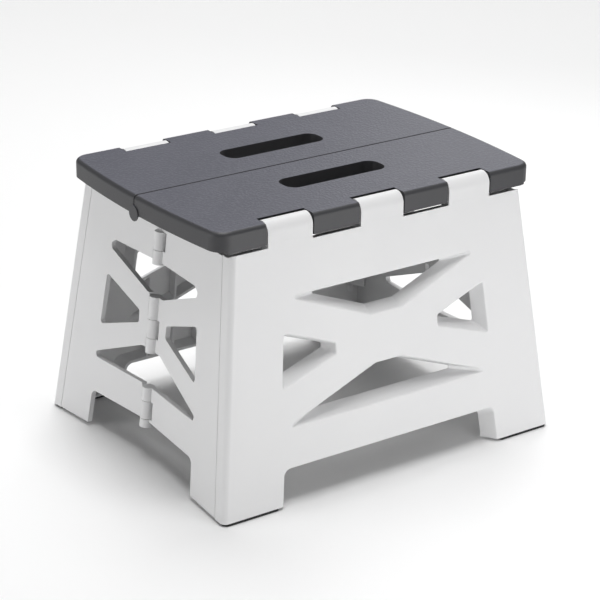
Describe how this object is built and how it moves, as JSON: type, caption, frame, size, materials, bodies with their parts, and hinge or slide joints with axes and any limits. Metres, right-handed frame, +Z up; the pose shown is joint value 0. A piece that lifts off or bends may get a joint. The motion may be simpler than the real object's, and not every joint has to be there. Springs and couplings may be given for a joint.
{
  "type": "folding step stool",
  "caption": "Low folding step stool: hinged slab top with hand slots on braced leg panels that lean out, and end panels that fold inwards at a centre hinge.",
  "frame": {"origin": "floor level, under the middle of the top", "axes": "+X along the seam of the top, +Y from the front leg panel to the back one, +Z up"},
  "size_m": [0.3144, 0.2584, 0.22],
  "materials": {
    "pale_plastic": "satin, light grey",
    "slate_plastic": "fine anti-slip grain, slate grey",
    "black_rubber": "matt black",
    "steel": "bright drawn rod"
  },
  "bodies": {
    "leg_front": {"leg_panel_front": "pale_plastic", "foot_pad_front_left": "black_rubber", "foot_pad_front_right": "black_rubber", "edge_rod_front": "steel", "corner_pin_front_left_lower": "steel", "corner_pin_front_left_upper": "steel", "corner_pin_front_right_lower": "steel", "corner_pin_front_right_upper": "steel"},
    "leg_back": {"leg_panel_back": "pale_plastic", "foot_pad_back_left": "black_rubber", "foot_pad_back_right": "black_rubber", "edge_rod_back": "steel", "corner_pin_back_left_lower": "steel", "corner_pin_back_left_upper": "steel", "corner_pin_back_right_lower": "steel", "corner_pin_back_right_upper": "steel"},
    "top_front": {"top_panel_front": "slate_plastic", "centre_rod": "steel"},
    "top_back": {"top_panel_back": "slate_plastic"},
    "end_left_front": {"end_panel_left_front": "pale_plastic", "centre_pin_left_lower": "steel", "centre_pin_left_middle": "steel", "centre_pin_left_upper": "steel"},
    "end_left_back": {"end_panel_left_back": "pale_plastic"},
    "end_right_front": {"end_panel_right_front": "pale_plastic", "centre_pin_right_lower": "steel", "centre_pin_right_middle": "steel", "centre_pin_right_upper": "steel"},
    "end_right_back": {"end_panel_right_back": "pale_plastic"}
  },
  "joints": [
    {"name": "top_front_fold", "type": "hinge", "parent": "leg_front", "child": "top_front", "pos_m": [0, -0.0972, 0.2117], "axis": [1, 0, 0], "range_deg": [0, 84.04]},
    {"name": "end_left_front_corner", "type": "hinge", "parent": "leg_front", "child": "end_left_front", "pos_m": [-0.14411, -0.1248, 0], "axis": [-0.101, -0.116, -0.9881], "range_deg": [0, 86.25]},
    {"name": "end_left_centre", "type": "hinge", "parent": "end_left_front", "child": "end_left_back", "pos_m": [-0.1267, 0, 0.2035], "axis": [0.1056, 0, 0.9944], "range_deg": [0, 171.17]},
    {"name": "end_left_back_corner", "type": "hinge", "parent": "end_left_back", "child": "leg_back", "pos_m": [-0.14411, 0.1248, 0], "axis": [-0.101, 0.116, -0.9881], "range_deg": [0, 86.25]},
    {"name": "top_back_fold", "type": "hinge", "parent": "leg_back", "child": "top_back", "pos_m": [0, 0.0972, 0.2117], "axis": [-1, 0, 0], "range_deg": [0, 84.04]},
    {"name": "end_right_front_corner", "type": "hinge", "parent": "leg_front", "child": "end_right_front", "pos_m": [0.14411, -0.1248, 0], "axis": [-0.101, 0.116, 0.9881], "range_deg": [0, 86.25]},
    {"name": "end_right_back_corner", "type": "hinge", "parent": "leg_back", "child": "end_right_back", "pos_m": [0.14411, 0.1248, 0], "axis": [0.101, 0.116, -0.9881], "range_deg": [0, 86.25]}
  ],
  "couplings": [
    {"joint": "end_left_front_corner", "follows": "top_front_fold", "ratio": 1.0263},
    {"joint": "end_left_centre", "follows": "top_front_fold", "ratio": 2.0368},
    {"joint": "end_left_back_corner", "follows": "top_front_fold", "ratio": 1.0263},
    {"joint": "top_back_fold", "follows": "top_front_fold", "ratio": 1},
    {"joint": "end_right_front_corner", "follows": "top_front_fold", "ratio": 1.0263},
    {"joint": "end_right_back_corner", "follows": "top_front_fold", "ratio": 1.0263}
  ]
}
